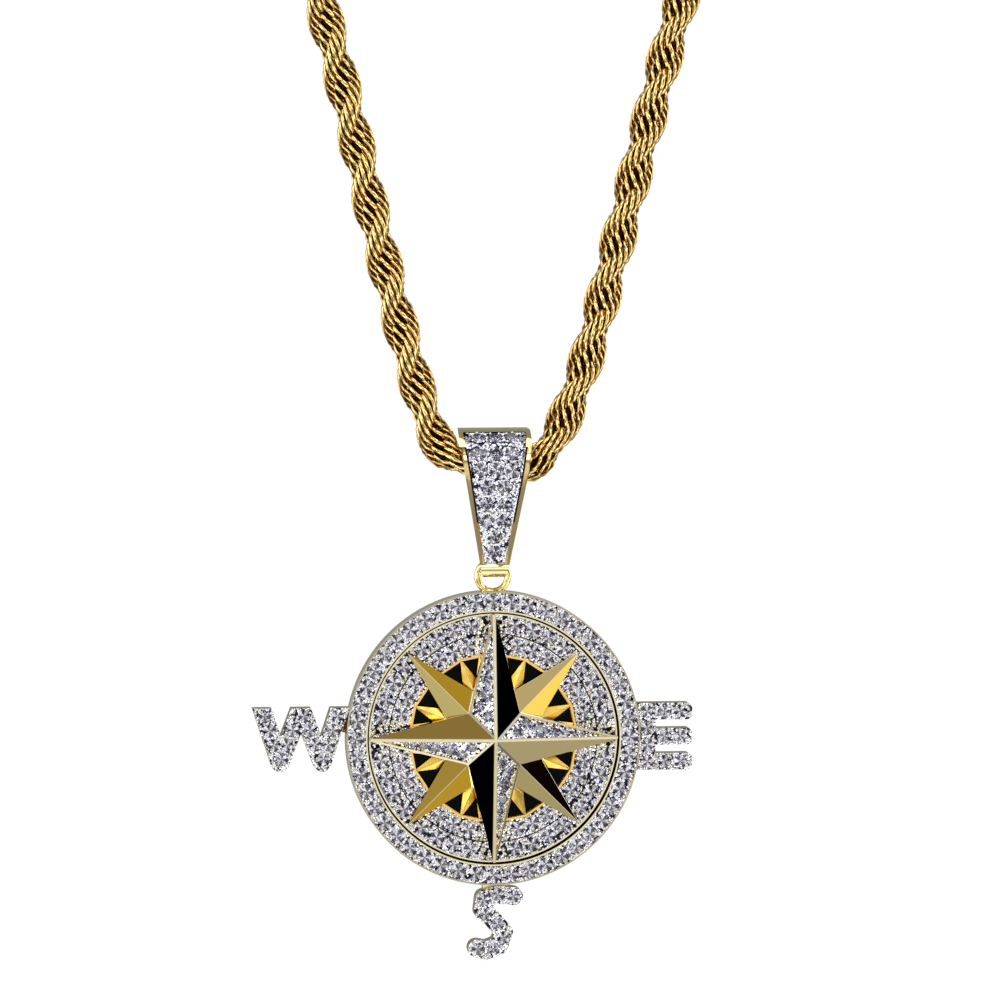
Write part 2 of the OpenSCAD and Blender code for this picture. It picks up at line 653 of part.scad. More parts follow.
module compass_star() {
  color("gold") pendant_frame() difference() {
    union() {
      long_star();
      diag_star();
    }
    on_facets() translate([0, 0, -recess_depth]) linear_extrude(1) polygon(RECESS);
    ray_seats(true);
  }
}

module star_stones() {
  color("white") pendant_frame() ray_seats(false);
}

module rim_stones() {
  color("white") pendant_frame() rim_seats(false);
}

module field_stones() {
  color("white") pendant_frame() field_seats(false);
}

module letter_stones() {
  color("white") pendant_frame() letter_seats(false);
}

chain();
clasp();
bail();
bail_stones();
compass_body();
enamel();
small_rays();
compass_star();
star_stones();
rim_stones();
field_stones();
letter_stones();
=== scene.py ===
"""Compass pendant on a rope chain: its finishes, the twisted rope, the cut stones and the stage.

The metal's shapes come from the frame's CAD nodes. Lengths are in metres, but for the rope's route,
the disc's rings and the bail's depths, which are in millimetres."""

import json
import math
import random

import bmesh
import bpy
from bpy.props import FloatProperty, FloatVectorProperty, IntProperty, PointerProperty
from mathutils import Matrix, Vector


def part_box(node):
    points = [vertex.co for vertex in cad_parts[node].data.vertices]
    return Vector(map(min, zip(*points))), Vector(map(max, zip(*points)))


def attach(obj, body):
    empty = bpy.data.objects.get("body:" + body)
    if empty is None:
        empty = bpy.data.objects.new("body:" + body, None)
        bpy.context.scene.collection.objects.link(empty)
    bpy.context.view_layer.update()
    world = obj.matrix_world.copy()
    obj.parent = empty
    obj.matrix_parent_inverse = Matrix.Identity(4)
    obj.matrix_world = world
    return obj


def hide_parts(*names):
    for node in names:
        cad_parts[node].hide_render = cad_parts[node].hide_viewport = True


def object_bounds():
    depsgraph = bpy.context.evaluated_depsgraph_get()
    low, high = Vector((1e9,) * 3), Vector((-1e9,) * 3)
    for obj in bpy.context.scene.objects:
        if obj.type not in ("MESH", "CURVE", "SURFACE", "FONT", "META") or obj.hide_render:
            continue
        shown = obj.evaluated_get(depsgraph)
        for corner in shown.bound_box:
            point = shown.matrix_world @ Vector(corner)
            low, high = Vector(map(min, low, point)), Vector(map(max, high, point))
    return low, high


bl_info = {
    "name": "Compass Pendant",
    "version": (1, 0, 0),
    "blender": (4, 5, 0),
    "location": "View3D > Sidebar > Pendant",
    "description": "Dresses a compass pendant and its rope chain",
    "category": "Object",
}

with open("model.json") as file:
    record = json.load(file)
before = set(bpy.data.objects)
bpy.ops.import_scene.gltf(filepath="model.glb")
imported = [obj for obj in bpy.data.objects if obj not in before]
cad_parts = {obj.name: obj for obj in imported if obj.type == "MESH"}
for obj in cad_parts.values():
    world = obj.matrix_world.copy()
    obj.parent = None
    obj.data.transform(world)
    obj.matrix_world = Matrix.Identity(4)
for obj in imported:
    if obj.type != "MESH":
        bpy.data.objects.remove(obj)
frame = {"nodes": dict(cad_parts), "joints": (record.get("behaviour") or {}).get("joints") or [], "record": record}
CAD_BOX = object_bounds()
MM = 0.001
BODIES = frame["record"]["behaviour"]["bodies"]
BODY_OF = {node: body for body, nodes in BODIES.items() for node in nodes}

# the middle of the bail's arch, the middle of the disc, and the plane of the disc's back
PIVOT = Vector(frame["joints"][0]["pos_m"])
DISC = (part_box("enamel")[0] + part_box("enamel")[1]) / 2
BACK_Y = -0.09055

# the chain's route, in millimetres, from the clasp's right end round the front to its left end
ROUTE = [
    (5, 0, 0), (9, 0, 0), (20, -2.5, -1), (38, -12, -4), (52, -27, -10), (58, -45, -19),
    (56, -62, -34), (50.5, -76, -55), (44, -85, -80), (36.5, -90, -109), (28, -92, -139),
    (19, -92, -169), (13, -92, -192), (10.2, -92, -202.5), (8.3, -92, -208),
    (6.6, -92, -211.8), (4, -92, -214.5), (0, -92, -214.1), (-4, -92, -213.95),
    (-5.9, -92, -212), (-7.3, -92, -208.3), (-9, -92, -202.5), (-11.7, -92, -192),
    (-17.2, -92, -169), (-26, -92, -139), (-35, -90, -109), (-43, -85, -80),
    (-50, -76, -55), (-56, -62, -34), (-58, -45, -19), (-52, -27, -10),
    (-38, -12, -4), (-20, -2.5, -1), (-9, 0, 0), (-5, 0, 0)]

# the room that the polished metal mirrors: its walls, and patches of light and dark on them as
# direction, half angle and softness in degrees, and colour
ROOM_WALLS = (0.36, 0.36, 0.40)
ROOM = [
    ((0.0, 1.0, 0.1), 55, 20, (0.36, 0.36, 0.33)),
    ((-1.0, -0.1, 0.1), 30, 8, (2.2, 2.2, 2.2)),
    ((1.0, -0.05, 0.2), 30, 8, (2.2, 2.2, 2.2)),
    ((0.0, -0.3, 0.95), 26, 8, (2.4, 2.4, 2.4)),
    ((0.0, -0.2, -0.98), 28, 8, (2.0, 2.0, 2.0)),
    ((0.02, -0.99, 0.0), 20, 8, (1.0, 0.98, 0.92)),
    ((-0.5, -0.8, 0.33), 9, 2, (3.5, 3.5, 3.5)),
    ((0.2, -0.8, 0.56), 9, 2, (3.5, 3.5, 3.5)),
    ((-0.6, -0.6, 0.53), 9, 2, (3.5, 3.5, 3.5)),
    ((0.7, -0.6, -0.35), 9, 2, (3.5, 3.5, 3.5)),
    ((0.0, -0.75, -0.66), 8, 2, (3.5, 3.5, 3.5)),
    ((-0.6, -0.8, -0.05), 8, 2, (3.5, 3.5, 3.5)),
    ((0.66, -0.6, 0.45), 9, 2, (3.5, 3.5, 3.5)),
    ((0.3, -0.65, -0.7), 8, 2, (3.5, 3.5, 3.5)),
    ((-0.5, -0.5, -0.7), 9, 2, (3.5, 3.5, 3.5)),
]

# more patches, where the star's polished sides mirror the camera's line of sight: the angle of the
# side's ray, on which side of its ridge it lies, anticlockwise being 1, and the patch as in ROOM
STAR_SIDES = [
    (0, -1, 13, 4, (0.42, 0.42, 0.47)),
    (180, -1, 13, 4, (0.25, 0.21, 0.11)),
    (45, 1, 9, 3, (0.50, 0.48, 0.44)),
    (45, -1, 9, 3, (1.05, 0.92, 0.37)),
    (315, -1, 9, 3, (0.40, 0.40, 0.40)),
    (225, -1, 9, 8, (0.38, 0.30, 0.115)),
    (225, 1, 8, 3, (0.48, 0.36, 0.07)),
    (135, -1, 9, 6, (0.41, 0.31, 0.06)),
    (135, 1, 9, 3, (0.53, 0.53, 0.46)),
    (90, -1, 13, 3, (0.0, 0.0, 0.0)),
    (315, 1, 8, 3, (0.004, 0.002, 0.002)),
    (270, -1, 12, 3, (0.0, 0.0, 0.0)),
]
# the same for two of its ridges: the ray's angle and the patch
STAR_RIDGES = [(0, 6, 2, (1.0, 0.98, 0.9)), (270, 6, 2, (0.85, 0.8, 0.7))]
# the part of a full turn that one side of a ray takes up
SIDE_SECTOR = math.tau / 16

# the finishes by name
FINISHES = {}


class RopeSettings(bpy.types.PropertyGroup):
    """Sizes and turns of the rope chain"""

    radius: FloatProperty(
        name="Radius", description="Radius of the whole rope", default=0.002, unit="LENGTH")
    twist: FloatProperty(
        name="Twist", description="Length of one full turn of the two strands", default=0.013,
        unit="LENGTH")
    wire: FloatProperty(
        name="Wire radius", description="Radius of a link's wire", default=0.00025, unit="LENGTH")
    link_length: FloatProperty(
        name="Link length", description="Length of one oval link", default=0.0039, unit="LENGTH")
    link_inner: FloatProperty(
        name="Link reach", description="How far a link passes the rope's middle", default=0.001,
        unit="LENGTH")
    links: IntProperty(
        name="Links", description="Links of one strand in a full turn", default=20, min=8, max=40)
    lean: FloatProperty(
        name="Lean", description="Angle of a link to the rope", default=math.radians(-3),
        subtype="ANGLE")
    phase: FloatProperty(
        name="Phase", description="Turn of the strands at the bail", default=math.radians(98),
        subtype="ANGLE")
    fill: FloatProperty(
        name="Fill", description="Radius of the wires in the groove between the strands", default=0.0014,
        unit="LENGTH")
    slip: FloatProperty(
        name="Slip", description="How far the rope's right side is turned where the bail hides it",
        default=math.radians(-64.5), subtype="ANGLE")
    fill_lean: FloatProperty(
        name="Fill lean", description="How far the wires in the groove turn from the rope's direction",
        default=math.radians(-32), subtype="ANGLE")
    # the radius of a dark tube inside the rope, painted shade for its middle
    core: FloatProperty(
        name="Core", description="Radius of the dark inside of the rope", default=0.0007, unit="LENGTH")


class StoneSettings(bpy.types.PropertyGroup):
    """Cut and setting of the stones"""

    tilt: FloatProperty(
        name="Tilt", description="Most that a stone is tilted in its seat", default=math.radians(4),
        subtype="ANGLE")
    bead: FloatProperty(
        name="Bead", description="Bead radius as a share of the stones' size", default=0.125)
    fill: FloatProperty(
        name="Fill", description="Stone radius as a share of its radius in the frame", default=1.1)
    index: FloatProperty(
        name="Refraction", description="How strongly the stones bend light", default=2.15)


class GoldSettings(bpy.types.PropertyGroup):
    """Colours of the metal and the width of its edges"""

    pale: FloatVectorProperty(
        name="Pale gold", description="Mirror polished faces", subtype="COLOR", size=3,
        default=(0.95, 0.77, 0.34))
    rich: FloatVectorProperty(
        name="Rich gold", description="The rope's wires", subtype="COLOR", size=3,
        default=(1.0, 0.90, 0.50))
    white: FloatVectorProperty(
        name="White plate", description="Faces and beads that hold stones", subtype="COLOR", size=3,
        default=(0.86, 0.87, 0.95))
    edge: FloatProperty(
        name="Edge", description="Width of the star's softened edges", default=0.00006, unit="LENGTH")


class StageSettings(bpy.types.PropertyGroup):
    """Where the camera stands and what it takes in"""

    azimuth: FloatProperty(
        name="Azimuth", description="Camera's angle round the pendant", default=math.radians(-6.0),
        subtype="ANGLE")
    elevation: FloatProperty(
        name="Elevation", description="Camera's angle above the level", default=math.radians(4.16),
        subtype="ANGLE")
    distance: FloatProperty(
        name="Distance", description="From camera to pendant", default=0.8, unit="LENGTH")
    width: FloatProperty(
        name="Width", description="Width of the view at the pendant", default=0.10439, unit="LENGTH")
    across: FloatProperty(
        name="Across", description="Middle of the view, sideways", default=0.00041, unit="LENGTH")
    height: FloatProperty(
        name="Height", description="Middle of the view, upwards", default=-0.21808, unit="LENGTH")


# small helpers


def mesh_of(bm, name, smooth=None):
    """A finished mesh. Faces that meet within the given angle, in degrees, are shaded as one."""
    mesh = bpy.data.meshes.new(name)
    bm.to_mesh(mesh)
    bm.free()
    mesh.polygons.foreach_set("use_smooth", [smooth is not None] * len(mesh.polygons))
    if smooth is not None and smooth < 180:
        mesh.set_sharp_from_angle(angle=math.radians(smooth))
    return mesh


def add_piece(mesh, finishes, owner, replaces=True):
    """Puts a finished mesh in the scene, kept inside the CAD model's box, on its CAD node's body."""
    for v in mesh.vertices:
        v.co = [min(max(c, low), high) for c, low, high in zip(v.co, *CAD_BOX)]
    piece = bpy.data.objects.new(mesh.name, mesh)
    bpy.context.scene.collection.objects.link(piece)
    for name in finishes:
        mesh.materials.append(FINISHES[name])
    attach(piece, BODY_OF[owner])
    if replaces:
        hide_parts(owner)


def refinish(owner, name):
    """Gives a CAD node that stays one of the finishes."""
    mesh = frame["nodes"][owner].data
    mesh.materials.clear()
    mesh.materials.append(FINISHES[name])


def solid_of(owner, flat=0.4):
    """A CAD node as a merged bmesh. Faces that meet within the given angle, in degrees, become one."""
    bm = bmesh.new()
    bm.from_mesh(frame["nodes"][owner].data)
    bmesh.ops.remove_doubles(bm, verts=bm.verts, dist=1e-6)
    bmesh.ops.dissolve_limit(bm, angle_limit=math.radians(flat), verts=bm.verts, edges=bm.edges)
    bm.verts.index_update()
    return bm


def islands(bm):
    """The loose parts of a bmesh, each as a list of its points in their own order."""
    left = set(bm.verts)
    for start in bm.verts:
        if start not in left:
            continue
        front = {start}
        group = set()
        while front:
            group |= front
            left -= front
            front = {e.other_vert(v) for v in front for e in v.link_edges} & left
        yield sorted(group, key=lambda v: v.index)


# a CAD stone's points nearest its middle: the corners of its table and, last, its tip
INNER_POINTS = 9


def stone_seats(owner):
    """Where each stone of a CAD node sits: its girdle's middle, the way it faces and its radius."""
    bm = solid_of(owner)
    seats = []
    for group in islands(bm):
        middle = sum((v.co for v in group), Vector()) / len(group)
        group.sort(key=lambda v: (v.co - middle).length)
        girdle = group[INNER_POINTS:]
        centre = sum((v.co for v in girdle), Vector()) / len(girdle)
        tip = group[INNER_POINTS - 1].co
        seats.append((centre, (centre - tip).normalized(), (girdle[0].co - centre).length))
    bm.free()
    return sorted(seats, key=lambda s: (round(s[0].z, 6), round(s[0].x, 6)))


def join_copies(copies):
    """One bmesh that holds a copy of each mesh at its matrix."""
    bm = bmesh.new()
    for template, place in copies:
        copy = template.copy()
        copy.transform(place)
        bm.from_mesh(copy)
        bpy.data.meshes.remove(copy)
    return bm


# finishes


def new_finish(name):
    """A new finish, kept under its name: its node tree and its shader."""
    material = bpy.data.materials.new(name)
    material.use_nodes = True
    FINISHES[name] = material
    return material.node_tree, material.node_tree.nodes["Principled BSDF"]


def node(tree, kind, inputs=(), **values):
    """Adds a node: its settings by name, and its inputs as numbers, colours or other nodes' outputs."""
    made = tree.nodes.new(kind)
    for key, value in values.items():
        setattr(made, key, value)
    for key, value in dict(inputs).items():
        if isinstance(value, bpy.types.NodeSocket):
            tree.links.new(value, made.inputs[key])
        else:
            made.inputs[key].default_value = value
    return made


def blend_colour(tree, factor, a, b):
    """Mixes two colours or outputs: a at factor 0, b at factor 1."""
    mixed = node(tree, "ShaderNodeMix", data_type="RGBA")
    for key, value in (("Factor", factor), ("A", a), ("B", b)):
        if isinstance(value, bpy.types.NodeSocket):
            tree.links.new(value, mixed.inputs[key])
        else:
            mixed.inputs[key].default_value = (*value, 1)
    return mixed.outputs["Result"]


def polished_metal(name, colour, roughness, wave=0.0, scale=900.0, warm=0.0):
    """Polished plate with faint hand polishing marks and a slightly uneven colour."""
    tree, shader = new_finish(name)
    shader.inputs["Metallic"].default_value = 1.0
    place = node(tree, "ShaderNodeTexCoord").outputs["Object"]
    marks = node(tree, "ShaderNodeTexNoise", {"Vector": place, "Scale": scale, "Detail": 3.0})
    rough = node(tree, "ShaderNodeMapRange", {
        "Value": marks.outputs["Fac"], "From Min": 0.3, "From Max": 0.7, "To Min": roughness * 0.7,
        "To Max": roughness * 1.4})
    tree.links.new(rough.outputs["Result"], shader.inputs["Roughness"])
    if wave:
        bump = node(tree, "ShaderNodeBump", {
            "Height": marks.outputs["Fac"], "Strength": wave, "Distance": 0.0001})
        tree.links.new(bump.outputs["Normal"], shader.inputs["Normal"])
    deeper = (colour[0] * (1 - warm * 0.3), colour[1] * (1 - warm * 0.6), colour[2] * (1 - warm))
    tone = blend_colour(tree, marks.outputs["Fac"], deeper, colour)
    tree.links.new(tone, shader.inputs["Base Color"])


def rope_metal(name, colour):
    """Bright wires with painted shade: orange on their flanks and brown black between them."""
    tree, shader = new_finish(name)
    shader.inputs["Metallic"].default_value = 1.0
    place = node(tree, "ShaderNodeTexCoord").outputs["Object"]
    painted_shade = node(tree, "ShaderNodeAttribute", attribute_name="painted_shade").outputs["Fac"]
    flank = node(tree, "ShaderNodeMapRange", {"Value": painted_shade, "From Min": 0.3, "From Max": 0.8},
                 interpolation_type="SMOOTHSTEP")
    pit = node(tree, "ShaderNodeMapRange", {"Value": painted_shade, "From Min": 0.55, "From Max": 0.88},
               interpolation_type="SMOOTHSTEP")
    # painted shade: the flanks turn orange and the deepest parts brown black
    warm = blend_colour(tree, flank.outputs["Result"], colour, (0.88, 0.50, 0.10))
    dark = blend_colour(tree, pit.outputs["Result"], warm, (0.03, 0.008, 0.003))
    tree.links.new(dark, shader.inputs["Base Color"])
    marks = node(tree, "ShaderNodeTexNoise", {"Vector": place, "Scale": 2500.0, "Detail": 2.0})
    rough = node(tree, "ShaderNodeMapRange", {
        "Value": marks.outputs["Fac"], "From Min": 0.3, "From Max": 0.7, "To Min": 0.03, "To Max": 0.11})
    tree.links.new(rough.outputs["Result"], shader.inputs["Roughness"])
    bump = node(tree, "ShaderNodeBump", {
        "Height": marks.outputs["Fac"], "Strength": 0.1, "Distance": 0.00005})
    tree.links.new(bump.outputs["Normal"], shader.inputs["Normal"])


def bright_cut_plate(name, colour):
    """White plate between the stones, raised into tiny beads, with painted shade in dark pits where they meet."""
    tree, shader = new_finish(name)
    shader.inputs["Metallic"].default_value = 1.0
    shader.inputs["Roughness"].default_value = 0.12
    place = node(tree, "ShaderNodeTexCoord").outputs["Object"]
    cells = node(tree, "ShaderNodeTexVoronoi", {"Vector": place, "Scale": 2900.0})
    bump = node(tree, "ShaderNodeBump", {
        "Height": cells.outputs["Distance"], "Strength": 0.6, "Distance": 0.0002}, invert=True)
    tree.links.new(bump.outputs["Normal"], shader.inputs["Normal"])
    # painted shade: the pits where the beads meet turn nearly black
    pit_shade = node(tree, "ShaderNodeMapRange", {
        "Value": cells.outputs["Distance"], "From Min": 0.56, "From Max": 0.7})
    tone = blend_colour(tree, pit_shade.outputs["Result"], colour, (0.02, 0.02, 0.05))
    tree.links.new(tone, shader.inputs["Base Color"])


def cut_glass(name, index):
    """Clear cut stone with faint wear."""
    tree, shader = new_finish(name)
    shader.inputs["Base Color"].default_value = (0.96, 0.96, 1.0, 1)
    shader.inputs["Transmission Weight"].default_value = 1.0
    shader.inputs["Roughness"].default_value = 0.0
    shader.inputs["IOR"].default_value = index
    place = node(tree, "ShaderNodeTexCoord").outputs["Object"]
    wear = node(tree, "ShaderNodeTexNoise", {"Vector": place, "Scale": 1200.0, "Detail": 1.0})
    bump = node(tree, "ShaderNodeBump", {
        "Height": wear.outputs["Fac"], "Strength": 0.03, "Distance": 0.00002})
    tree.links.new(bump.outputs["Normal"], shader.inputs["Normal"])


def black_enamel(name):
    """Glossy black enamel, clouded a little."""
    tree, shader = new_finish(name)
    shader.inputs["Roughness"].default_value = 0.05
    shader.inputs["Specular IOR Level"].default_value = 0.05
    place = node(tree, "ShaderNodeTexCoord").outputs["Object"]
    cloud = node(tree, "ShaderNodeTexNoise", {"Vector": place, "Scale": 500.0, "Detail": 2.0})
    tone = blend_colour(tree, cloud.outputs["Fac"], (0.0004, 0.0004, 0.0005), (0.001, 0.0009, 0.001))
    tree.links.new(tone, shader.inputs["Base Color"])
    bump = node(tree, "ShaderNodeBump", {
        "Height": cloud.outputs["Fac"], "Strength": 0.02, "Distance": 0.0001})
    tree.links.new(bump.outputs["Normal"], shader.inputs["Normal"])


def make_finishes(context):
    gold = context.scene.gold_settings
    polished_metal("pale_plate", gold.pale, 0.05, 0.02, 900, 0.1)
    polished_metal("mirror_gold", gold.pale, 0.008, 0.002, 500, 0.05)
    polished_metal("small_ray_plate", (0.86, 0.57, 0.10), 0.3, 0.005, 900, 0.1)
    # greyer, darker gold on the disc's outer lip and on the rims round the star's stones: a painted reflection
    polished_metal("grey_gold_painted_reflection", (0.46, 0.44, 0.36), 0.06, 0.02, 900, 0.1)
    # paler gold as a painted highlight on the star's ridges and softened edges, the small rays' softened edges and
    # the top ring
    polished_metal("painted_highlight_plate", (0.80, 0.75, 0.55), 0.06, 0.01, 900, 0.1)
    # darker gold on side walls inside the disc's edge: painted shade
    polished_metal("wall_painted_shade", (0.62, 0.58, 0.34), 0.1, 0.02, 900, 0.1)
    polished_metal("enamel_border", (1.0, 0.66, 0.18), 0.15, 0.1, 2500, 0.3)
    # dark brown on side walls out to the letters: painted shade
    polished_metal("letter_side_painted_shade", (0.30, 0.21, 0.09), 0.15, 0.1, 1500, 0.3)
    polished_metal("bail_plate", (0.74, 0.60, 0.30), 0.05, 0.02, 900, 0.1)
    # painted shade in the grooves between stones, and painted dark reflection in strips on the bail's borders
    polished_metal("painted_shade_and_dark_reflection", (0.02, 0.012, 0.006), 0.4)
    polished_metal("seat_shadow", (0.30, 0.30, 0.38), 0.25, 0.2, 3000)
    polished_metal("white_beads", gold.white, 0.05)
    # painted shade for the tube inside the rope
    polished_metal("painted_shade_inside_rope", (0.05, 0.016, 0.005), 0.45, 0.2, 2000)
    rope_metal("rope_wire", gold.rich)
    bright_cut_plate("white_plate", gold.white)
    cut_glass("cut_stone", context.scene.stone_settings.index)
    polished_metal("stone_back", (0.93, 0.93, 1.0), 0.05)
    # painted dark reflection on some of the stones' back facets
    polished_metal("stone_painted_dark_reflection", (0.07, 0.07, 0.15), 0.05)
    black_enamel("enamel_black")


# the rope

# the stretch of the route that the bail hides
BAIL_WIDTH = 0.008
# points of the fine route, at each end, that the clasp hides
CLASP_POINTS = 4
WIRE_SIDES = 5
# where a link's painted shade begins towards the rope's middle, and over what depth it deepens, as shares of the
# rope's radius
DEEP_FROM = 0.7
DEEP_OVER = 0.6
# the wires in the groove: how far they pass the rope's middle, their length as a share of a link's,
# and where they start in a turn of the strands
GROOVE_REACH = -0.0001
GROOVE_LENGTH = 0.66
GROOVE_START = 0.25


def smooth_route(points, step=16):
    """The route as a fine list of points, with a curve through the chosen ones."""
    p = [Vector(q) * MM for q in points]
    fine = []
    for i in range(len(p) - 1):
        a, b, c, d = p[max(i - 1, 0)], p[i], p[i + 1], p[min(i + 2, len(p) - 1)]
        for k in range(step):
            t = k / step
            fine.append((2 * b + (c - a) * t + (2 * a - 5 * b + 4 * c - d) * t * t
                         + (3 * b - a - 3 * c + d) * t ** 3) / 2)
    fine.append(p[-1])
    return fine


class RopeLine:
    """Walks along the route: the point and two steady side directions at a length."""

    def __init__(self, points):
        self.p = points
        self.s = [0.0]
        for a, b in zip(points, points[1:]):
            self.s.append(self.s[-1] + (b - a).length)
        self.ways = []
        side = Vector((0, 0, 1))
        for i in range(len(points)):
            t = (points[min(i + 1, len(points) - 1)] - points[max(i - 1, 0)]).normalized()
            side = (side - t * side.dot(t)).normalized()
            self.ways.append((t, side))
        self.i = 0

    def at(self, s):
        while self.i < len(self.s) - 2 and self.s[self.i + 1] < s:
            self.i += 1
        while self.i > 0 and self.s[self.i] > s:
            self.i -= 1
        i = self.i
        u = (s - self.s[i]) / (self.s[i + 1] - self.s[i])
        t = self.ways[i][0].lerp(self.ways[i + 1][0], u).normalized()
        side = self.ways[i][1].lerp(self.ways[i + 1][1], u)
        side = (side - t * side.dot(t)).normalized()
        return self.p[i].lerp(self.p[i + 1], u), side, t.cross(side)


def oval_link(rope, outer, inner, length, steps):
    """One oval link, along x and outwards along y, with painted shade on its flanks and by its depth in the rope.
    """
    bm = bmesh.new()
    width = outer + inner
    run = width / 2 - rope.wire
    bmesh.ops.create_circle(bm, segments=WIRE_SIDES, radius=rope.wire)
    bmesh.ops.rotate(bm, verts=bm.verts, matrix=Matrix.Rotation(math.pi / 2, 3, "X"))
    bmesh.ops.rotate(bm, verts=bm.verts, matrix=Matrix.Rotation(math.radians(-90 / WIRE_SIDES), 3, "Y"))
    bmesh.ops.translate(bm, verts=bm.verts, vec=(run, 0, 0))
    bmesh.ops.spin(bm, geom=bm.verts[:] + bm.edges[:], cent=(0, 0, 0), axis=(0, 0, 1),
                   angle=math.tau, steps=steps, use_merge=True)
    bmesh.ops.remove_doubles(bm, verts=bm.verts, dist=1e-7)
    painted_shade = bm.verts.layers.float.new("painted_shade")
    middle = outer - width / 2
    for v in bm.verts:
        flank = abs(v.co.z) / rope.wire
        from_middle = math.hypot(v.co.y + middle, v.co.z)
        deep = (DEEP_FROM * rope.radius - from_middle) / (DEEP_OVER * rope.radius)
        v[painted_shade] = max(flank, min(max(deep, 0.0), 1.0))
        v.co.x += (length - width) / 2 * math.cos(math.atan2(v.co.y, v.co.x))
    bmesh.ops.recalc_face_normals(bm, faces=bm.faces)
    return mesh_of(bm, "oval_link")


def rope_shade_core(line, first, last, radius):
    """A dark tube inside the rope between two points of its route, painted shade for the rope's middle."""
    path = bpy.data.curves.new("core", "CURVE")
    path.dimensions = "3D"
    path.bevel_depth = radius
    path.bevel_resolution = 1
    spline = path.splines.new("POLY")
    chosen = line.p[first:last + 1:2]
    spline.points.add(len(chosen) - 1)
    for point, place in zip(spline.points, chosen):
        point.co = (*place, 1)
    holder = bpy.data.objects.new("core", path)
    mesh = bpy.data.meshes.new_from_object(holder)
    bpy.data.objects.remove(holder)
    bpy.data.curves.remove(path)
    return mesh


class PENDANT_OT_rope_chain(bpy.types.Operator):
    """Twists two strands of oval links along the chain's route"""

    bl_idname = "pendant.rope_chain"
    bl_label = "Rope chain"

    def execute(self, context):
        rope = context.scene.rope_settings
        line = RopeLine(smooth_route(ROUTE))
        outer = oval_link(rope, rope.radius, rope.link_inner, rope.link_length, 12)
        inner = oval_link(rope, rope.fill, GROOVE_REACH, rope.link_length * GROOVE_LENGTH, 8)
        strands = [
            (0, outer, (rope.radius - rope.link_inner) / 2, rope.lean, rope.links),
            (GROOVE_START, inner, (rope.fill - GROOVE_REACH) / 2, rope.fill_lean, rope.links * 3 // 4)]
        end = line.s[-1] - rope.link_length / 2
        at_bail = min(range(len(line.p)), key=lambda i: (line.p[i] - PIVOT).length)
        halves = {"right": [], "left": []}
        for start, link, reach, lean, count in strands:
            step = rope.twist / count / 2
            for n in range(int((end - rope.link_length / 2) / step)):
                s = rope.link_length / 2 + n * step
                from_bail = s - line.s[at_bail]
                hidden = min(max(0.5 - from_bail / BAIL_WIDTH, 0), 1)
                wound = from_bail / rope.twist + n % 2 / 2 + start
                turn = math.tau * wound + rope.phase + rope.slip * hidden
                place = (Matrix.Translation((s, 0, 0)) @ Matrix.Rotation(turn, 4, "X")
                         @ Matrix.Translation((0, reach, 0)) @ Matrix.Rotation(-lean, 4, "Y"))
                halves["right" if from_bail < 0 else "left"].append((link, place))
        last_point = len(line.p) - 1 - CLASP_POINTS
        for name, first, last in (("right", CLASP_POINTS, at_bail), ("left", at_bail, last_point)):
            bm = join_copies(sorted(halves[name], key=lambda copy: copy[1].translation.x))
            for v in bm.verts:
                point, side, up = line.at(v.co.x)
                v.co = point + side * v.co.y + up * v.co.z
            link_faces = len(bm.faces)
            # the tube inside the rope takes the second finish, painted shade
            bm.from_mesh(rope_shade_core(line, first, last, rope.core))
            bm.faces.ensure_lookup_table()
            for face in bm.faces[link_faces:]:
                face.material_index = 1
            mesh = mesh_of(bm, "rope_" + name, 180)
            add_piece(mesh, ["rope_wire", "painted_shade_inside_rope"], "chain")
        return {"FINISHED"}


# the stones and the beads that hold them

# a brilliant cut of radius 1, from its table down to its tip:
# corners, radius, height and turn of each ring
CUT_RINGS = (
    (8, 0.56, 0.30, 0), (8, 0.80, 0.17, 22.5), (16, 1.0, 0.02, 11.25), (16, 1.0, -0.03, 11.25),
    (8, 0.42, -0.50, 22.5))
CUT_TIP = -0.84
# the back facets painted dark, a painted reflection: those this near the tip, and those in this much of each
# quarter turn
DARK_RADIUS = 0.45
DARK_TURN = 34
# widest gap between two stones that share beads
SHARED_GAP = 0.0006
# turns, in degrees from its one neighbour, at which the last stone of a row has its own beads
END_TURNS = (100, 145, 215, 260)
# how far beads stand above a stone's girdle, and where a ball of radius 1 is cut off for a bead
BEAD_STAND = 0.00004
BEAD_FOOT = -0.35


def brilliant():
    """A brilliant cut of radius 1, with a finish of its own on the back, and painted dark reflection on the dark
    facets.
    """
    bm = bmesh.new()
    for sides, radius, height, turn in CUT_RINGS:
        bmesh.ops.create_circle(
            bm, segments=sides, radius=radius,
            matrix=Matrix.Translation((0, 0, height)) @ Matrix.Rotation(math.radians(turn), 4, "Z"))
    bm.verts.new((0, 0, CUT_TIP))
    bmesh.ops.delete(bm, geom=bm.edges, context="EDGES_FACES")
    bmesh.ops.convex_hull(bm, input=bm.verts)
    bmesh.ops.dissolve_limit(bm, angle_limit=math.radians(0.5), verts=bm.verts, edges=bm.edges)
    bmesh.ops.recalc_face_normals(bm, faces=bm.faces)
    for face in bm.faces:
        p = face.calc_center_median()
        if face.normal.z < -0.1:
            turn = math.degrees(math.atan2(p.y, p.x)) % 90
            face.material_index = 2 if p.to_2d().length < DARK_RADIUS or turn < DARK_TURN else 1
    return mesh_of(bm, "brilliant")


def bead():
    """A ball of radius 1, cut off flat below its middle."""
    bm = bmesh.new()
    bmesh.ops.create_icosphere(bm, subdivisions=2, radius=1.0)
    bmesh.ops.bisect_plane(bm, geom=bm.verts[:] + bm.edges[:] + bm.faces[:], plane_co=(0, 0, BEAD_FOOT),
                           plane_no=(0, 0, -1), clear_outer=True)
    bmesh.ops.holes_fill(bm, edges=[e for e in bm.edges if e.is_boundary], sides=0)
    return mesh_of(bm, "bead", 50)


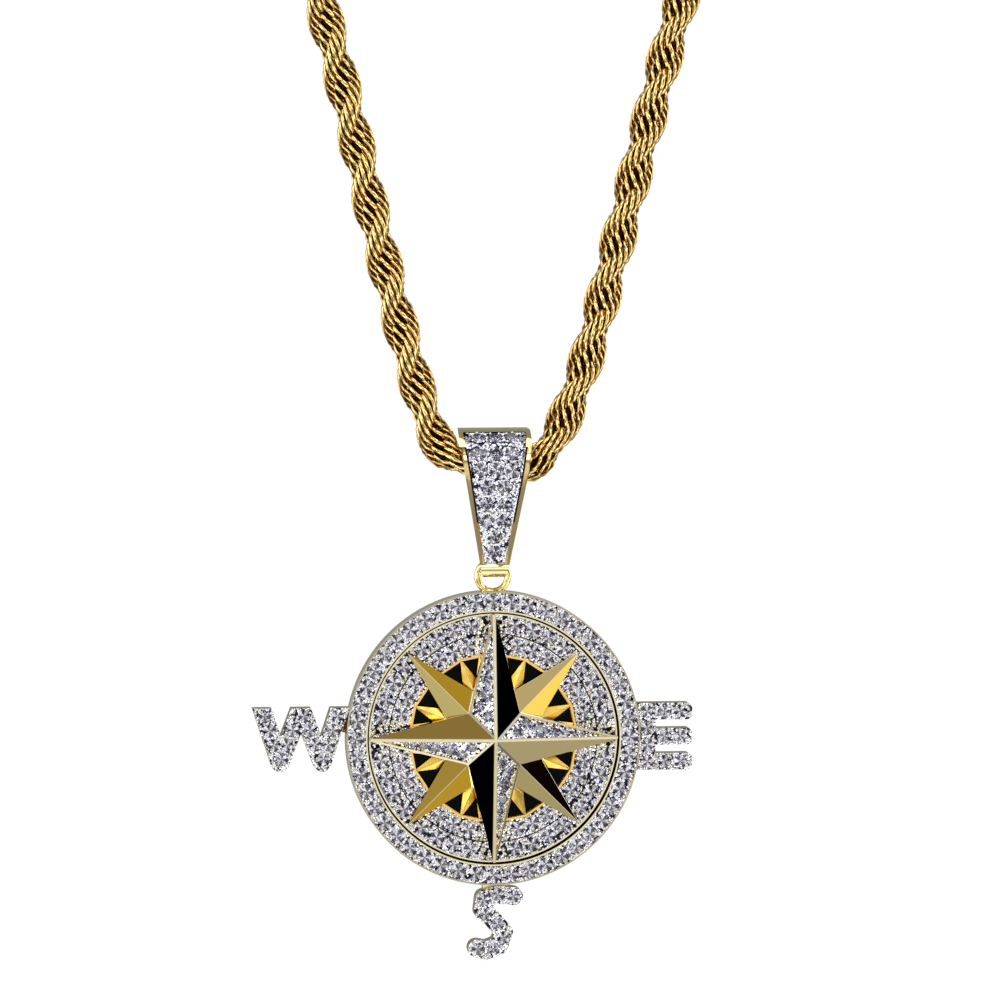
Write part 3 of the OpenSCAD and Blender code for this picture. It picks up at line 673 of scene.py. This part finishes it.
def bead_places(seats, share):
    """Two beads between neighbouring stones, and one at each free corner of a stone."""
    wanted = []
    for a, axis, r in seats:
        near = [s for s in seats if s[0] is not a and (s[0] - a).length < r + s[2] + SHARED_GAP]
        for b, other, q in near:
            gap = (b - a).length
            row = (b - a).normalized()
            out = (axis + other).normalized()
            across = out.cross(row)
            size = share * (r + q)
            for side in (-1, 1):
                height = math.sqrt(max((r + size * 0.7) ** 2 - gap * gap / 4, 0.0)) + size * 0.35
                wanted.append(((a + b) / 2 + across * side * height, out, size))
                corner = (row * 0.62 + across * side * 0.86).normalized()
                wanted.append((a + corner * (r + size * 0.55), axis, size * 0.8))
        if len(near) < 2:
            row = (near[0][0] - a).normalized() if near else Vector((1, 0, 0))
            across = axis.cross(row)
            for turn in END_TURNS:
                way = row * math.cos(math.radians(turn)) + across * math.sin(math.radians(turn))
                wanted.append((a + way * (r + share * r), axis, share * 1.7 * r))
    kept = []
    for place in wanted:
        p, _, size = place
        if any((p - k[0]).length < (size + k[2]) * 0.85 for k in kept):
            continue
        if any((p - s[0]).length < s[2] + size * 0.2 for s in seats):
            continue
        kept.append(place)
    return kept


def facing(point, out, turn=0.0):
    """The matrix that takes a shape to a point, with its top towards a direction."""
    turned = out.to_track_quat("Z", "Y").to_matrix().to_4x4() @ Matrix.Rotation(turn, 4, "Z")
    return Matrix.Translation(point) @ turned


def disc_radius(p):
    """A point's distance from the disc's middle, in millimetres."""
    return math.hypot(p.x - DISC.x, p.z - DISC.z) / MM


EVERYWHERE = ((0, math.inf),)

# each CAD node of stones: the node that holds them, that node's slot, and the rings of the disc in which
# beads may stand, from and to, in millimetres
STONE_GROUPS = {
    "rim_stones": ("compass_body", "body_gold", ((13.55, 15.2),)),
    "field_stones": ("compass_body", "body_gold", ((9.15, 10.9), (11.15, 12.85))),
    "letter_stones": ("compass_body", "body_gold", EVERYWHERE),
    "star_stones": ("compass_star", "star_gold", EVERYWHERE),
    "bail_stones": ("bail", "bail_gold", EVERYWHERE),
}


class PENDANT_OT_stones(bpy.types.Operator):
    """Sets a brilliant cut stone in each seat, with small beads of metal round it"""

    bl_idname = "pendant.stones"
    bl_label = "Stones and beads"

    def execute(self, context):
        stone = context.scene.stone_settings
        chance = random.Random(7)
        cut, ball = brilliant(), bead()
        for name, (owner, slot, rings) in STONE_GROUPS.items():
            seats = stone_seats(name)
            places = []
            for centre, out, radius in seats:
                lean = Vector((chance.uniform(-1, 1), chance.uniform(-1, 1), chance.uniform(-1, 1)))
                tipped = (out + lean * math.tan(stone.tilt)).normalized()
                turned = facing(centre, tipped, chance.uniform(0, math.tau))
                places.append((cut, turned @ Matrix.Scale(radius * stone.fill, 4)))
            crystals = mesh_of(join_copies(places), name.replace("stones", "crystals"))
            add_piece(crystals, ["cut_stone", "stone_back", "stone_painted_dark_reflection"], name)
            places = [(ball, facing(p + out * BEAD_STAND, out) @ Matrix.Scale(size, 4))
                      for p, out, size in bead_places(seats, stone.bead)
                      if any(low <= disc_radius(p) < high for low, high in rings)]
            beads = mesh_of(join_copies(places), name.replace("stones", "beads"), 50)
            add_piece(beads, ["white_beads"], owner, False)
        return {"FINISHED"}


# the metal

# how much wider than its stone a seat is
SEAT_MARGIN = 0.0001
# edges that turn more than this are softened
CREASE = math.radians(6)
BAIL_CREASE = math.radians(50)

# rings of the disc, from and to, in millimetres from its middle
DISC_EDGE = 15.52
FIELD_PLATE = (8.7, 13.0)
FIELD_SEATS = (9.02, 12.95)
ENAMEL_BORDER = (8.7, 9.05)
TOP_RING = (12.9, 13.52)
TOP_RING_GROOVE = (13.08, 13.32)
RIM_PLATE = (13.4, 15.4)
RIM_SEATS = (13.49, 15.25)
RIM_LIP = (15.2, DISC_EDGE)
LETTER_PLATE = (15.2, math.inf)
# heights above the disc's back, in millimetres: the base plate, the groove between the rows of stones,
# a level between the top ring's groove and the raised rings, and the rim's lip
BASE_TOP = 1.0
FIELD_GROOVE = (1.25, 1.905)
RAISED = 1.7
LIP_TOP = 2.0
# the level faces that hold stones: height and ring
STONE_PLATES = ((1.9, FIELD_PLATE), (2.45, RIM_PLATE), (2.1, LETTER_PLATE))
# width of the letters' softened edges, and the shortest edge that is softened
LETTER_EDGE = 0.00011
LETTER_SHORTEST = 0.00005


def in_seat(face, seats):
    """Whether a face lies in a stone's seat, with every corner of it."""
    for centre, out, radius in seats:
        ways = [v.co - centre for v in face.verts]
        if all(abs(w.dot(out)) < 2 * radius and (w - out * w.dot(out)).length < radius + SEAT_MARGIN
               for w in ways):
            return True
    return False


def in_ring(radii, ring):
    """Whether all of a face's points lie in a ring, given their distances from the disc's middle."""
    return ring[0] < min(radii) and max(radii) < ring[1]


def soften(bm, edges, width, segments=2):
    """Rounds edges off, and gives the new faces."""
    rounded = bmesh.ops.bevel(bm, geom=edges, offset=width, offset_type="OFFSET", segments=segments,
                              profile=0.5, affect="EDGES", material=-1, clamp_overlap=True)
    return rounded["faces"]


class PENDANT_OT_compass_body(bpy.types.Operator):
    """Gold disc, ring and letters, with white plate where the stones sit"""

    bl_idname = "pendant.compass_body"
    bl_label = "Disc and letters"

    def execute(self, context):
        seats = stone_seats("rim_stones") + stone_seats("field_stones") + stone_seats("letter_stones")
        bm = solid_of("compass_body")
        gold, white, black, seat, lip, side, border, wall, cream_highlight = range(9)
        for face in bm.faces:
            r = [disc_radius(v.co) for v in face.verts]
            heights = [(BACK_Y - v.co.y) / MM for v in face.verts]
            low, top = min(heights), max(heights)
            level = top - low < 0.01
            face.material_index = gold
            if level and any(abs(top - height) < 0.02 and in_ring(r, ring)
                             for height, ring in STONE_PLATES):
                face.material_index = white
            elif in_seat(face, seats):
                face.material_index = seat
            # the groove between the rows of stones and the top ring's groove are painted black: painted shade
            elif low > FIELD_GROOVE[0] and top < FIELD_GROOVE[1] and in_ring(r, FIELD_SEATS):
                face.material_index = black
            elif low < RAISED and in_ring(r, TOP_RING_GROOVE):
                face.material_index = black
            # the top ring gets paler gold, a painted highlight
            elif low > BASE_TOP and in_ring(r, TOP_RING):
                face.material_index = cream_highlight
            elif top > RAISED and in_ring(r, ENAMEL_BORDER):
                face.material_index = border
            # the outer lip gets greyer, darker gold, a painted reflection
            elif top > LIP_TOP and in_ring(r, RIM_LIP) and face.normal.y < -0.5:
                face.material_index = lip
            # side walls inside the disc's edge get darker gold, and those out to the letters dark brown: painted
            # shade
            elif min(r) > RIM_PLATE[1] and abs(face.normal.y) < 0.3:
                face.material_index = wall if max(r) < DISC_EDGE else side
            elif low > BASE_TOP and (in_ring(r, FIELD_SEATS) or in_ring(r, RIM_SEATS)):
                face.material_index = white
        outline = [e for e in bm.edges if len(e.link_faces) == 2
                   and min(disc_radius(v.co) for v in e.verts) > DISC_EDGE
                   and sorted(f.material_index for f in e.link_faces) == [white, side]
                   and e.calc_length() > LETTER_SHORTEST]
        soften(bm, outline, LETTER_EDGE)
        finishes = ["pale_plate", "white_plate", "painted_shade_and_dark_reflection", "seat_shadow", "grey_gold_painted_reflection",
                    "letter_side_painted_shade", "enamel_border", "wall_painted_shade", "painted_highlight_plate"]
        add_piece(mesh_of(bm, "dressed_body", 30), finishes, "compass_body")
        return {"FINISHED"}


# how far the plate between the star's stones lies above the middle of their girdles, give or take
STAR_PLATE = 0.00004
STAR_PLATE_MARGIN = 0.00003
# the star's shortest edge that is softened, and the small rays' edges as a share of the star's
STAR_SHORTEST = 0.0012
RAY_EDGE = 0.8


class PENDANT_OT_star(bpy.types.Operator):
    """Mirror polished star with softened edges and sunk halves, the small rays and the enamel"""

    bl_idname = "pendant.star"
    bl_label = "Star, small rays and enamel"

    def execute(self, context):
        edge = context.scene.gold_settings.edge
        seats = stone_seats("star_stones")
        bm = solid_of("compass_star")
        gold, white, seat, ridge, frame_edge = range(5)
        for face in bm.faces:
            p, n = face.calc_center_median(), face.normal
            face.material_index = gold
            # the rims round the star's stones get greyer, darker gold, a painted reflection
            if any(n.dot(out) > 0.995 for _, out, _ in seats):
                face.material_index = frame_edge
            # flat fronts, and the softened edges below, get paler gold: a painted highlight
            elif n.y < -0.985:
                face.material_index = ridge
            if any(n.dot(out) > 0.99 and abs((p - centre).dot(out) - STAR_PLATE) < STAR_PLATE_MARGIN
                   for centre, out, _ in seats):
                face.material_index = white
            elif in_seat(face, seats):
                face.material_index = seat
        sharp = [e for e in bm.edges if len(e.link_faces) == 2 and e.calc_face_angle(0) > CREASE
                 and all(f.material_index in (gold, ridge, frame_edge) for f in e.link_faces)
                 and e.calc_length() > STAR_SHORTEST]
        for face in soften(bm, sharp, edge):
            face.material_index = ridge
        finishes = ["mirror_gold", "white_plate", "seat_shadow", "painted_highlight_plate", "grey_gold_painted_reflection"]
        add_piece(mesh_of(bm, "dressed_star"), finishes, "compass_star")

        rays = solid_of("small_rays", 2)
        sharp = [e for e in rays.edges if len(e.link_faces) == 2 and e.calc_face_angle(0) > CREASE
                 and all(f.normal.y < -0.5 for f in e.link_faces)]
        # the small rays' softened edges get paler gold, a painted highlight
        for face in soften(rays, sharp, edge * RAY_EDGE):
            face.material_index = 1
        finishes = ["small_ray_plate", "painted_highlight_plate"]
        add_piece(mesh_of(rays, "dressed_small_rays"), finishes, "small_rays")
        refinish("enamel", "enamel_black")
        return {"FINISHED"}


# how far the bail's front leans
BAIL_LEAN = math.asin(2.0 / 9.4)
# depths of the bail from its arch's middle, in millimetres: the arch's outer side, the sunk panel, and
# all that stands proud of the panel
BAIL_OUTER = 4.3
PANEL = (4.1, 4.24)
PROUD = 4.28
# how far the panel reaches below the arch's middle
PANEL_REACH = 0.0102
# lowest and highest point of the dark strips on the bail's borders, painted black as a painted reflection, and the
# bright edge beside them
PAINTED_REFLECTION_STRIP = (-0.2206, -0.2125)
BRIGHT_EDGE = 0.00019
# width of the bail's rounded sides, and how far behind the arch's middle they begin
BAIL_EDGE = 0.0003
BAIL_EDGE_FROM = 0.003


def bail_depth(co):
    """How far a point lies from the arch's middle, or from the flat of the front below it."""
    q = (co - PIVOT) / MM
    if q.z > -BAIL_OUTER * math.sin(BAIL_LEAN):
        return math.hypot(q.y, q.z)
    return -q.y * math.cos(BAIL_LEAN) - q.z * math.sin(BAIL_LEAN)


class PENDANT_OT_bail(bpy.types.Operator):
    """Gold bail with rounded sides and a white panel, and the plain clasp"""

    bl_idname = "pendant.bail"
    bl_label = "Bail and clasp"

    def execute(self, context):
        seats = stone_seats("bail_stones")
        bm = solid_of("bail", 1.0)
        gold, white, seat, black = range(4)
        for height in PAINTED_REFLECTION_STRIP:
            bmesh.ops.bisect_plane(bm, geom=bm.verts[:] + bm.edges[:] + bm.faces[:],
                                   plane_co=(0, 0, height), plane_no=(0, 0, 1))
        for face in bm.faces:
            face.material_index = gold
            if face.calc_center_median().y > PIVOT.y:
                continue
            if all(PANEL[0] < bail_depth(v.co) < PANEL[1] and v.co.z > PIVOT.z - PANEL_REACH
                   for v in face.verts):
                face.material_index = white
            elif in_seat(face, seats):
                face.material_index = seat
        sides = [e for e in bm.edges if len(e.link_faces) == 2 and e.calc_face_angle(0) > BAIL_CREASE
                 and all(f.material_index == gold for f in e.link_faces)
                 and all(bail_depth(v.co) > PROUD and v.co.y < PIVOT.y + BAIL_EDGE_FROM
                         for v in e.verts)]
        soften(bm, sides, BAIL_EDGE, 3)
        border = [f for f in bm.faces if f.material_index == gold and abs(f.normal.x) < 0.05
                  and all(bail_depth(v.co) > PROUD and v.co.y < PIVOT.y for v in f.verts)
                  and PAINTED_REFLECTION_STRIP[0] - 1e-5 < f.calc_center_median().z < PAINTED_REFLECTION_STRIP[1] + 1e-5]
        # the strips beside the borders' inner walls are painted black, a painted reflection
        inset = bmesh.ops.inset_region(bm, faces=border, thickness=BRIGHT_EDGE, use_even_offset=True)
        for face in inset["faces"]:
            side = math.copysign(1, face.calc_center_median().x)
            if any(f.normal.x * side < -0.05 for e in face.edges for f in e.link_faces):
                face.material_index = black
        finishes = ["bail_plate", "white_plate", "seat_shadow", "painted_shade_and_dark_reflection"]
        add_piece(mesh_of(bm, "dressed_bail", 32), finishes, "bail")
        refinish("clasp", "pale_plate")
        return {"FINISHED"}


# the stage

# how far the floor lies below the pendant, and the view's middle in front of the bail's
FLOOR_DROP = 0.00015
VIEW_FORWARD = 0.004
SENSOR_WIDTH = 36


def line_of_sight(stage):
    """The way the camera looks."""
    return Vector((-math.sin(stage.azimuth) * math.cos(stage.elevation),
                   math.cos(stage.azimuth) * math.cos(stage.elevation), -math.sin(stage.elevation)))


def mirrored(look, normal):
    """The way a flat face with this normal mirrors a line of sight."""
    return look - 2 * look.dot(normal) * normal


def side_normal(star, turn, side):
    """The normal of the largest face of the star on one side of a ray's ridge."""
    middle = turn + side * SIDE_SECTOR / 2
    out = Vector((math.cos(middle), 0, math.sin(middle)))
    faces = []
    for face in star.faces:
        place = face.calc_center_median() - DISC
        place.y = 0
        if face.normal.y < 0 and place.angle(out, math.pi) < SIDE_SECTOR / 2:
            faces.append(face)
    return max(faces, key=lambda f: f.calc_area()).normal


def star_patches(look):
    """The patches of the room that the star's ridges and polished sides mirror to the camera."""
    star = solid_of("compass_star")
    apex = min((v.co for v in star.verts), key=lambda p: p.y)
    tip = max((v.co for v in star.verts), key=lambda p: p.x - p.y)
    fall = math.atan2(tip.y - apex.y, tip.x - apex.x)
    patches = []
    for degrees, half, soft, light in STAR_RIDGES:
        turn = math.radians(degrees)
        normal = Vector((math.cos(turn) * math.sin(fall), -math.cos(fall), math.sin(turn) * math.sin(fall)))
        patches.append((mirrored(look, normal), half, soft, light))
    for degrees, side, half, soft, light in STAR_SIDES:
        normal = side_normal(star, math.radians(degrees), side)
        patches.append((mirrored(look, normal), half, soft, light))
    star.free()
    return patches


def surroundings(world, look):
    """A white backdrop for the camera, and the room that metal and stones mirror."""
    world.use_nodes = True
    tree = world.node_tree
    tree.nodes.clear()
    way = node(tree, "ShaderNodeTexCoord").outputs["Generated"]
    colour = ROOM_WALLS
    for direction, half, soft, light in ROOM + star_patches(look):
        towards = node(tree, "ShaderNodeVectorMath", operation="DOT_PRODUCT")
        tree.links.new(way, towards.inputs[0])
        towards.inputs[1].default_value = Vector(direction).normalized()
        outer, inner = half + soft / 2, max(half - soft / 2, 0)
        inside = node(tree, "ShaderNodeMapRange", {
            "Value": towards.outputs["Value"], "From Min": math.cos(math.radians(outer)),
            "From Max": math.cos(math.radians(inner))}, interpolation_type="SMOOTHSTEP")
        colour = blend_colour(tree, inside.outputs["Result"], colour, light)
    seen = node(tree, "ShaderNodeLightPath").outputs["Is Camera Ray"]
    colour = blend_colour(tree, seen, colour, (1, 1, 1))
    back = node(tree, "ShaderNodeBackground", {"Color": colour, "Strength": 1.0})
    out = node(tree, "ShaderNodeOutputWorld")
    tree.links.new(back.outputs["Background"], out.inputs["Surface"])


def pale_floor():
    """A floor that shows as white as the backdrop, with a soft gloss."""
    tree, shader = new_finish("pale_floor")
    glow = node(tree, "ShaderNodeEmission", {"Color": (1, 1, 1, 1), "Strength": 1.24})
    gloss = node(tree, "ShaderNodeBsdfGlossy", {"Color": (1, 1, 1, 1), "Roughness": 0.16})
    mix = node(tree, "ShaderNodeMixShader", {"Fac": 0.25})
    tree.links.new(glow.outputs[0], mix.inputs[1])
    tree.links.new(gloss.outputs[0], mix.inputs[2])
    tree.links.new(mix.outputs[0], tree.nodes["Material Output"].inputs["Surface"])
    tree.nodes.remove(shader)


class PENDANT_OT_stage(bpy.types.Operator):
    """Plain pale floor, the light of the room and the camera at the photograph's angle"""

    bl_idname = "pendant.stage"
    bl_label = "Stage"

    def execute(self, context):
        scene = context.scene
        stage = scene.stage_settings
        scene.view_settings.view_transform = "Standard"
        scene.world = bpy.data.worlds.new("surroundings")
        look = line_of_sight(stage)
        surroundings(scene.world, look)

        pale_floor()
        bm = bmesh.new()
        bmesh.ops.create_grid(bm, x_segments=1, y_segments=1, size=6)
        bmesh.ops.translate(bm, verts=bm.verts, vec=(0, 0, CAD_BOX[0][2] - FLOOR_DROP))
        floor = bpy.data.objects.new("floor", mesh_of(bm, "floor"))
        floor.data.materials.append(FINISHES["pale_floor"])
        scene.collection.objects.link(floor)
        floor.visible_glossy = floor.visible_transmission = floor.visible_diffuse = False

        camera = bpy.data.objects.new("camera", bpy.data.cameras.new("camera"))
        scene.collection.objects.link(camera)
        target = Vector((stage.across, PIVOT.y - VIEW_FORWARD, stage.height))
        camera.location = target - look * stage.distance
        camera.rotation_euler = look.to_track_quat("-Z", "Y").to_euler()
        camera.data.sensor_width = SENSOR_WIDTH
        camera.data.lens = SENSOR_WIDTH * stage.distance / stage.width
        camera.data.clip_start = 0.05
        camera.data.clip_end = 20
        scene.camera = camera
        return {"FINISHED"}


class VIEW3D_PT_pendant(bpy.types.Panel):
    """Lists the pieces and their settings"""

    bl_label = "Pendant"
    bl_space_type = "VIEW_3D"
    bl_region_type = "UI"
    bl_category = "Pendant"

    def draw(self, context):
        for name in GROUPS:
            group = getattr(context.scene, name)
            box = self.layout.box()
            for key in group.__annotations__:
                box.prop(group, key)
        for operator in OPERATORS:
            self.layout.operator(operator.bl_idname)


OPERATORS = (
    PENDANT_OT_rope_chain, PENDANT_OT_stones, PENDANT_OT_compass_body, PENDANT_OT_star,
    PENDANT_OT_bail, PENDANT_OT_stage)
GROUPS = {
    "rope_settings": RopeSettings, "stone_settings": StoneSettings,
    "gold_settings": GoldSettings, "stage_settings": StageSettings}


def register():
    for cls in (*GROUPS.values(), *OPERATORS, VIEW3D_PT_pendant):
        bpy.utils.register_class(cls)
    for name, group in GROUPS.items():
        setattr(bpy.types.Scene, name, PointerProperty(type=group))


def unregister():
    for name in GROUPS:
        delattr(bpy.types.Scene, name)
    for cls in (VIEW3D_PT_pendant, *reversed(OPERATORS), *GROUPS.values()):
        bpy.utils.unregister_class(cls)


def main():
    register()
    make_finishes(bpy.context)
    for operator in OPERATORS:
        group, name = operator.bl_idname.split(".")
        getattr(getattr(bpy.ops, group), name)()


if __name__ == "__main__":
    main()
